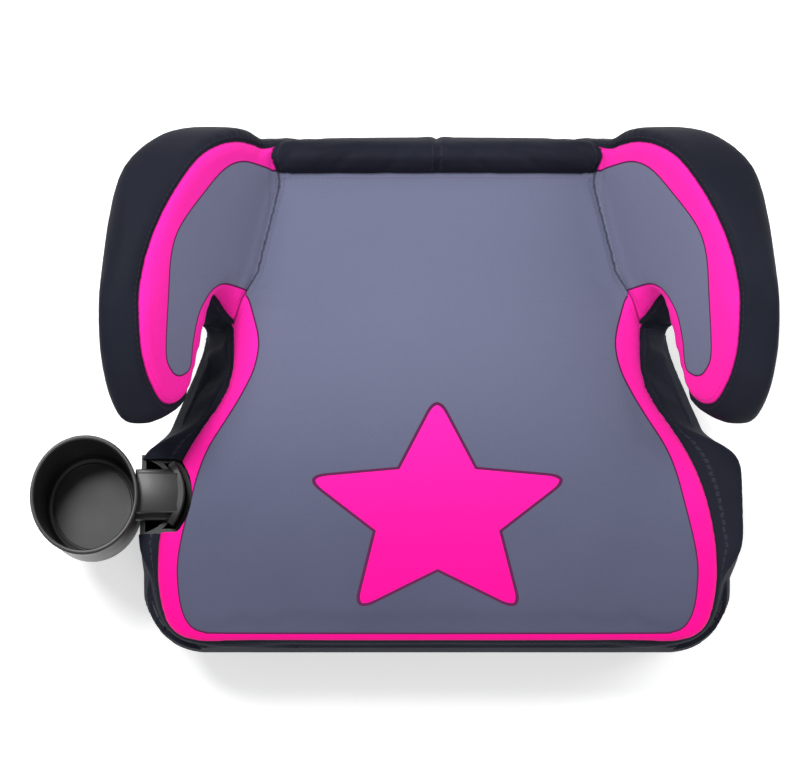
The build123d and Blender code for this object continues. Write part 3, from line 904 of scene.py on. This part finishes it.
def printed_cloth(name, with_star_and_seat_shade):
    material, nodes, links, shader = new_material(name)
    coordinates = node(nodes, "TexCoord").outputs["Object"]
    place = node(nodes, "SeparateXYZ")
    links.new(coordinates, place.inputs[0])
    edge = node(nodes, "Attribute", attribute_name="print_distance").outputs["Fac"]
    seam = node(nodes, "Attribute", attribute_name="seam_distance").outputs["Fac"]
    # Painted shade: the colours are blended darker towards the front
    painted_front_shade = node(nodes, "MapRange", interpolation_type="SMOOTHSTEP")
    links.new(place.outputs["Y"], painted_front_shade.inputs["Value"])
    painted_front_shade.inputs["From Min"].default_value = 0.05
    painted_front_shade.inputs["From Max"].default_value = -0.17
    pink = mix_colour(nodes, links, painted_front_shade.outputs[0], PINK_REAR, PINK_SHADED_FRONT)
    grey = mix_colour(nodes, links, painted_front_shade.outputs[0], GREY_REAR, GREY_SHADED_FRONT)
    cloudy = noise(nodes, links, coordinates, 9, 3)
    grey = mix_colour(nodes, links, math_node(nodes, links, "MULTIPLY", cloudy, 0.25), grey, GREY_WORN)
    # Painted shade: the seat panel's grey is painted darker than the same cloth on the armrests; the star
    # below is real print
    if with_star_and_seat_shade:
        grey = mix_colour(nodes, links, 1.0, grey, (0.82, 0.83, 0.84, 1), "MULTIPLY")
    share = node(nodes, "MapRange")
    links.new(edge, share.inputs["Value"])
    share.inputs["From Min"].default_value = -0.25
    share.inputs["From Max"].default_value = 0.25
    colour = mix_colour(nodes, links, share.outputs[0], pink, grey)
    on_line = math_node(nodes, links, "LESS_THAN", math_node(nodes, links, "ABSOLUTE", edge), 0.55)
    colour = mix_colour(nodes, links, on_line, colour, LINE)
    if with_star_and_seat_shade:
        star = star_distance(nodes, links, place)
        inside = math_node(nodes, links, "LESS_THAN", star, 0.0)
        rim = math_node(nodes, links, "LESS_THAN", math_node(nodes, links, "ABSOLUTE", star), 0.0009)
        colour = mix_colour(nodes, links, inside, colour, pink)
        colour = mix_colour(nodes, links, rim, colour, LINE)
    threads = weave(nodes, links, coordinates, 1100)
    speckle = noise(nodes, links, coordinates, 1500, 1)
    shade = math_node(nodes, links, "MULTIPLY_ADD", threads, 0.10, 0.93)
    speckle = math_node(nodes, links, "SUBTRACT", speckle, 0.5)
    shade = math_node(nodes, links, "MULTIPLY_ADD", speckle, 0.16, shade)
    # Painted shade: the cloth is painted darker within about a millimetre of each seam, where the groove lies
    # in shadow
    painted_seam_shade = node(nodes, "MapRange", interpolation_type="SMOOTHSTEP")
    links.new(seam, painted_seam_shade.inputs["Value"])
    painted_seam_shade.inputs["From Max"].default_value = 1.3
    painted_seam_shade.inputs["To Min"].default_value = 0.35
    shade = math_node(nodes, links, "MULTIPLY", shade, painted_seam_shade.outputs[0])
    grey_scale = node(nodes, "CombineColor")
    for socket in grey_scale.inputs[:3]:
        links.new(shade, socket)
    colour = mix_colour(nodes, links, 1.0, colour, grey_scale.outputs[0], "MULTIPLY")
    thread = stitches(nodes, links)
    colour = mix_colour(nodes, links, math_node(nodes, links, "MULTIPLY", thread, 0.25), colour, LINE)
    links.new(colour, shader.inputs["Base Color"])
    shader.inputs["Roughness"].default_value = 0.82
    shader.inputs["Sheen Weight"].default_value = 0.03
    shader.inputs["Sheen Roughness"].default_value = 0.5
    shader.inputs["Specular IOR Level"].default_value = 0.08
    ripple = noise(nodes, links, coordinates, 60, 3)
    bump(nodes, links, shader, [(ripple, 0.10, 0.001), (threads, 0.25, 0.0002), (thread, 0.3, 0.0003)])
    return material


# %% [markdown]
# ## The black cloth
# The black cloth is a smooth knit with a satin look. It is very dark, so most of what is seen is
# the soft shine on its bulges.

# %% Black cloth
BLACK_DARK = (0.007, 0.008, 0.013, 1)
BLACK_LIGHT = (0.015, 0.0165, 0.027, 1)
BLACK_THREAD = (0.035, 0.036, 0.045, 1)


def black_cloth(name):
    material, nodes, links, shader = new_material(name)
    coordinates = node(nodes, "TexCoord").outputs["Object"]
    cloudy = noise(nodes, links, coordinates, 14, 3)
    colour = mix_colour(nodes, links, cloudy, BLACK_DARK, BLACK_LIGHT)
    thread = stitches(nodes, links)
    thread_share = math_node(nodes, links, "MULTIPLY", thread, 0.5)
    colour = mix_colour(nodes, links, thread_share, colour, BLACK_THREAD)
    links.new(colour, shader.inputs["Base Color"])
    shader.inputs["Roughness"].default_value = 0.6
    shader.inputs["IOR"].default_value = 1.18
    shader.inputs["Specular IOR Level"].default_value = 0.25
    ripple = noise(nodes, links, coordinates, 45, 3, (1, 1, 0.4))
    knit = noise(nodes, links, coordinates, 1400, 1)
    bump(nodes, links, shader, [(ripple, 0.25, 0.001), (knit, 0.15, 0.0002), (thread, 0.4, 0.0003)])
    return material


# %% [markdown]
# ## Dress the panels
# The seat panel and the insides of the armrests are printed, and all other panels are black.

# %% Give each panel its cloth
seat_cloth = printed_cloth("printed_seat_cloth", True)
arm_cloth = printed_cloth("printed_arm_cloth", False)
black = black_cloth("black_cloth")
for name, obj in panels.items():
    obj.data.materials.clear()
    if name == "seat_panel":
        obj.data.materials.append(seat_cloth)
    elif name.endswith("arm_inside"):
        obj.data.materials.append(arm_cloth)
    else:
        obj.data.materials.append(black)

# %% [markdown]
# ## The cup holder
# The cup holder is one black moulding: a cup with a rolled rim, a short flat arm with a rib, and a
# curved tongue that drops into the socket. The cup is a turned shape, so it is spun from a profile
# drawn at the sizes of the CAD cup holder, and then made slightly oval.

# %% Cup
holder_low, holder_high = (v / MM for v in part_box("cup_holder"))
CUP_OUTER_RADIUS = 36.8
CUP_Y = -82.0
RIM_ABOVE_ARM = 7.0
cup_centre = Vector((holder_low.x + CUP_OUTER_RADIUS, CUP_Y, 0))
rim_z = holder_high.z
arm_top_z = rim_z - RIM_ABOVE_ARM


def start_piece(name, vertices, edges=(), faces=()):
    mesh = bpy.data.meshes.new(name)
    mesh.from_pydata([tuple(Vector(v) * MM) for v in vertices], edges, faces)
    obj = bpy.data.objects.new(name, mesh)
    bpy.context.scene.collection.objects.link(obj)
    make_active(obj)
    bpy.ops.object.mode_set(mode="EDIT")
    bpy.ops.mesh.select_all(action="SELECT")
    return obj


def end_piece(obj):
    bpy.ops.mesh.select_all(action="SELECT")
    bpy.ops.mesh.remove_doubles(threshold=0.02 * MM)
    bpy.ops.mesh.normals_make_consistent(inside=False)
    bpy.ops.object.mode_set(mode="OBJECT")


# Half of a section through the cup, as (radius, height below the rim)
cup_profile = [(0, -60), (31.5, -60), (33.4, -59.4), (34.6, -57.8), (35.0, -55.5), (35.5, -30), (35.8, -4.2),
               (36.6, -3.6), (36.9, -2.4), (36.9, -1.0), (36.3, -0.2), (35.4, 0), (34.4, -0.3), (33.9, -1.1),
               (33.7, -3), (33.3, -28), (32.9, -50), (32.3, -54.5), (30.6, -56.9), (28.5, -57.5),
               (27.9, -57.0), (27.2, -57.0), (26.6, -57.5), (0, -57.5)]
cup = start_piece("cup", [(cup_centre.x + r, cup_centre.y, rim_z + z) for r, z in cup_profile],
                  [(i, i + 1) for i in range(len(cup_profile) - 1)])
bpy.ops.mesh.spin(steps=128, angle=2 * math.pi, center=cup_centre * MM, axis=(0, 0, 1))
end_piece(cup)
bpy.ops.object.mode_set(mode="EDIT")
bpy.ops.mesh.select_all(action="SELECT")
bpy.ops.transform.resize(value=(0.98, 1.09, 1), center_override=cup_centre * MM)
bpy.ops.object.mode_set(mode="OBJECT")


print("cup:", len(cup.data.polygons), "faces")

# %% [markdown]
# ## The arm of the cup holder
# A short flat arm with a wider rib under it joins the cup to the tongue. Both are boxes with
# every edge bevelled, because a moulding has no sharp edge.


# %% Arm and rib
def block_piece(name, low, high, bevel):
    """A box between two corners with rounded edges."""
    middle = (Vector(low) + Vector(high)) / 2 * MM
    deselect_all()
    bpy.ops.mesh.primitive_cube_add(size=1, location=(0, 0, 0))
    obj = bpy.context.active_object
    obj.name = name
    bpy.ops.object.mode_set(mode="EDIT")
    bpy.ops.mesh.select_all(action="SELECT")
    bpy.ops.transform.resize(value=(Vector(high) - Vector(low)) * MM, center_override=(0, 0, 0))
    bpy.ops.transform.translate(value=middle)
    bpy.ops.mesh.bevel(offset=bevel * MM, segments=3, affect="EDGES")
    bpy.ops.object.mode_set(mode="OBJECT")
    return obj


cup_edge_x = cup_centre.x + 35.0
arm_foot_z = arm_top_z - 14
cup_arm = block_piece("cup_arm", (cup_edge_x - 1.0, -93.25, arm_foot_z), (-173.0, -65.75, arm_top_z), 1.2)
cup_rib = block_piece("cup_rib", (cup_edge_x - 2.5, -96.75, arm_foot_z), (-177.5, -62.25, arm_top_z - 9), 1.0)
print("arm of the cup holder is", round(-173.0 - cup_edge_x), "mm long")

# %% [markdown]
# ## The tongue
# The tongue is a curved plate that drops into the socket. It is swept in columns round an arc,
# with its top corners rounded down.


# %% Tongue
def tongue_piece():
    """The curved plate behind the arm, with rounded shoulders at its top corners."""
    centre = Vector((-203, -79.5))
    outer, inner, foot_z, edge = 34, 29, 50, 0.8
    spread = math.asin(22 / outer)
    columns = 24
    vertices, faces = [], []
    for i in range(columns + 1):
        share = i / columns
        angle = -spread + 2 * spread * share
        drop = 4.0 * (abs(2 * share - 1) ** 6)
        top = arm_top_z - drop
        for radius, z in ((outer, foot_z), (outer, top - edge), (outer - edge, top),
                          (inner + edge, top), (inner, top - edge), (inner, foot_z)):
            vertices.append((centre.x + radius * math.cos(angle), centre.y + radius * math.sin(angle), z))
    for i in range(columns):
        for k in range(6):
            a, b = i * 6 + k, i * 6 + (k + 1) % 6
            faces.append((a, b, b + 6, a + 6))
    faces.append(tuple(range(6)))
    faces.append(tuple(reversed(range(columns * 6, columns * 6 + 6))))
    obj = start_piece("cup_tongue", vertices, faces=faces)
    end_piece(obj)
    return obj


cup_tongue = tongue_piece()
holder_pieces = (cup, cup_arm, cup_rib, cup_tongue)
for obj in holder_pieces:
    make_active(obj)
    bpy.ops.object.shade_smooth_by_angle(angle=math.radians(32))
    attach(obj, HOLDER)
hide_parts("cup_holder")
print("cup holder:", sum(len(o.data.polygons) for o in holder_pieces), "faces")

# %% [markdown]
# ## Moulded plastic, rubber and steel
# The cup holder is a satin black. The shell and tray are a rougher black with a fine spark texture.
# The grip pads are dull rubber, and the screws are zinc-plated steel.

# %% Hard finishes
def moulded(name, dark, light, roughness, grain_size, grain_depth, specular=0.35):
    material, nodes, links, shader = new_material(name)
    coordinates = node(nodes, "TexCoord").outputs["Object"]
    cloudy = noise(nodes, links, coordinates, 25, 4)
    links.new(mix_colour(nodes, links, cloudy, dark, light), shader.inputs["Base Color"])
    rough = node(nodes, "MapRange")
    links.new(noise(nodes, links, coordinates, 60, 5), rough.inputs["Value"])
    rough.inputs["To Min"].default_value = roughness - 0.07
    rough.inputs["To Max"].default_value = roughness + 0.09
    links.new(rough.outputs[0], shader.inputs["Roughness"])
    shader.inputs["Specular IOR Level"].default_value = specular
    grain = noise(nodes, links, coordinates, grain_size, 2)
    bump(nodes, links, shader, [(grain, 0.2, grain_depth)])
    return material


satin = moulded("satin_plastic", (0.010, 0.010, 0.011, 1), (0.018, 0.018, 0.019, 1), 0.36, 1400, 0.00006)
rough_plastic = moulded("shell_plastic", (0.012, 0.012, 0.013, 1), (0.022, 0.022, 0.024, 1),
                        0.55, 900, 0.0002)
rubber = moulded("grip_rubber", (0.016, 0.016, 0.016, 1), (0.026, 0.026, 0.026, 1), 0.8, 500, 0.0003)
steel = moulded("zinc_steel", (0.50, 0.50, 0.52, 1), (0.62, 0.62, 0.64, 1), 0.33, 700, 0.00003)
steel.node_tree.nodes["Principled BSDF"].inputs["Metallic"].default_value = 1.0
for obj in holder_pieces:
    obj.data.materials.clear()
    obj.data.materials.append(satin)
finishes = {"shell": rough_plastic, "tray": rough_plastic, "socket": satin, "pads": rubber, "screws": steel}
for name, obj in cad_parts.items():
    kind = name.split("_")[-1]
    if kind in finishes:
        obj.data.materials.clear()
        obj.data.materials.append(finishes[kind])
        print(name, "is", finishes[kind].name)

# %% [markdown]
# ## The floor
# The seat stands on a wide pale sheet. It glows a little, so that it stays nearly white.

# %% Floor
bpy.ops.mesh.primitive_plane_add(size=14, location=(0, 0, -0.0005))
floor = bpy.context.active_object
floor.name = "floor"
floor_material, nodes, links, shader = new_material("floor")
shader.inputs["Base Color"].default_value = (0.85, 0.85, 0.85, 1)
shader.inputs["Roughness"].default_value = 0.9
shader.inputs["Emission Color"].default_value = (1, 1, 1, 1)
shader.inputs["Emission Strength"].default_value = 0.38
floor.data.materials.append(floor_material)
print("floor is", round(floor.dimensions.x), "m wide")
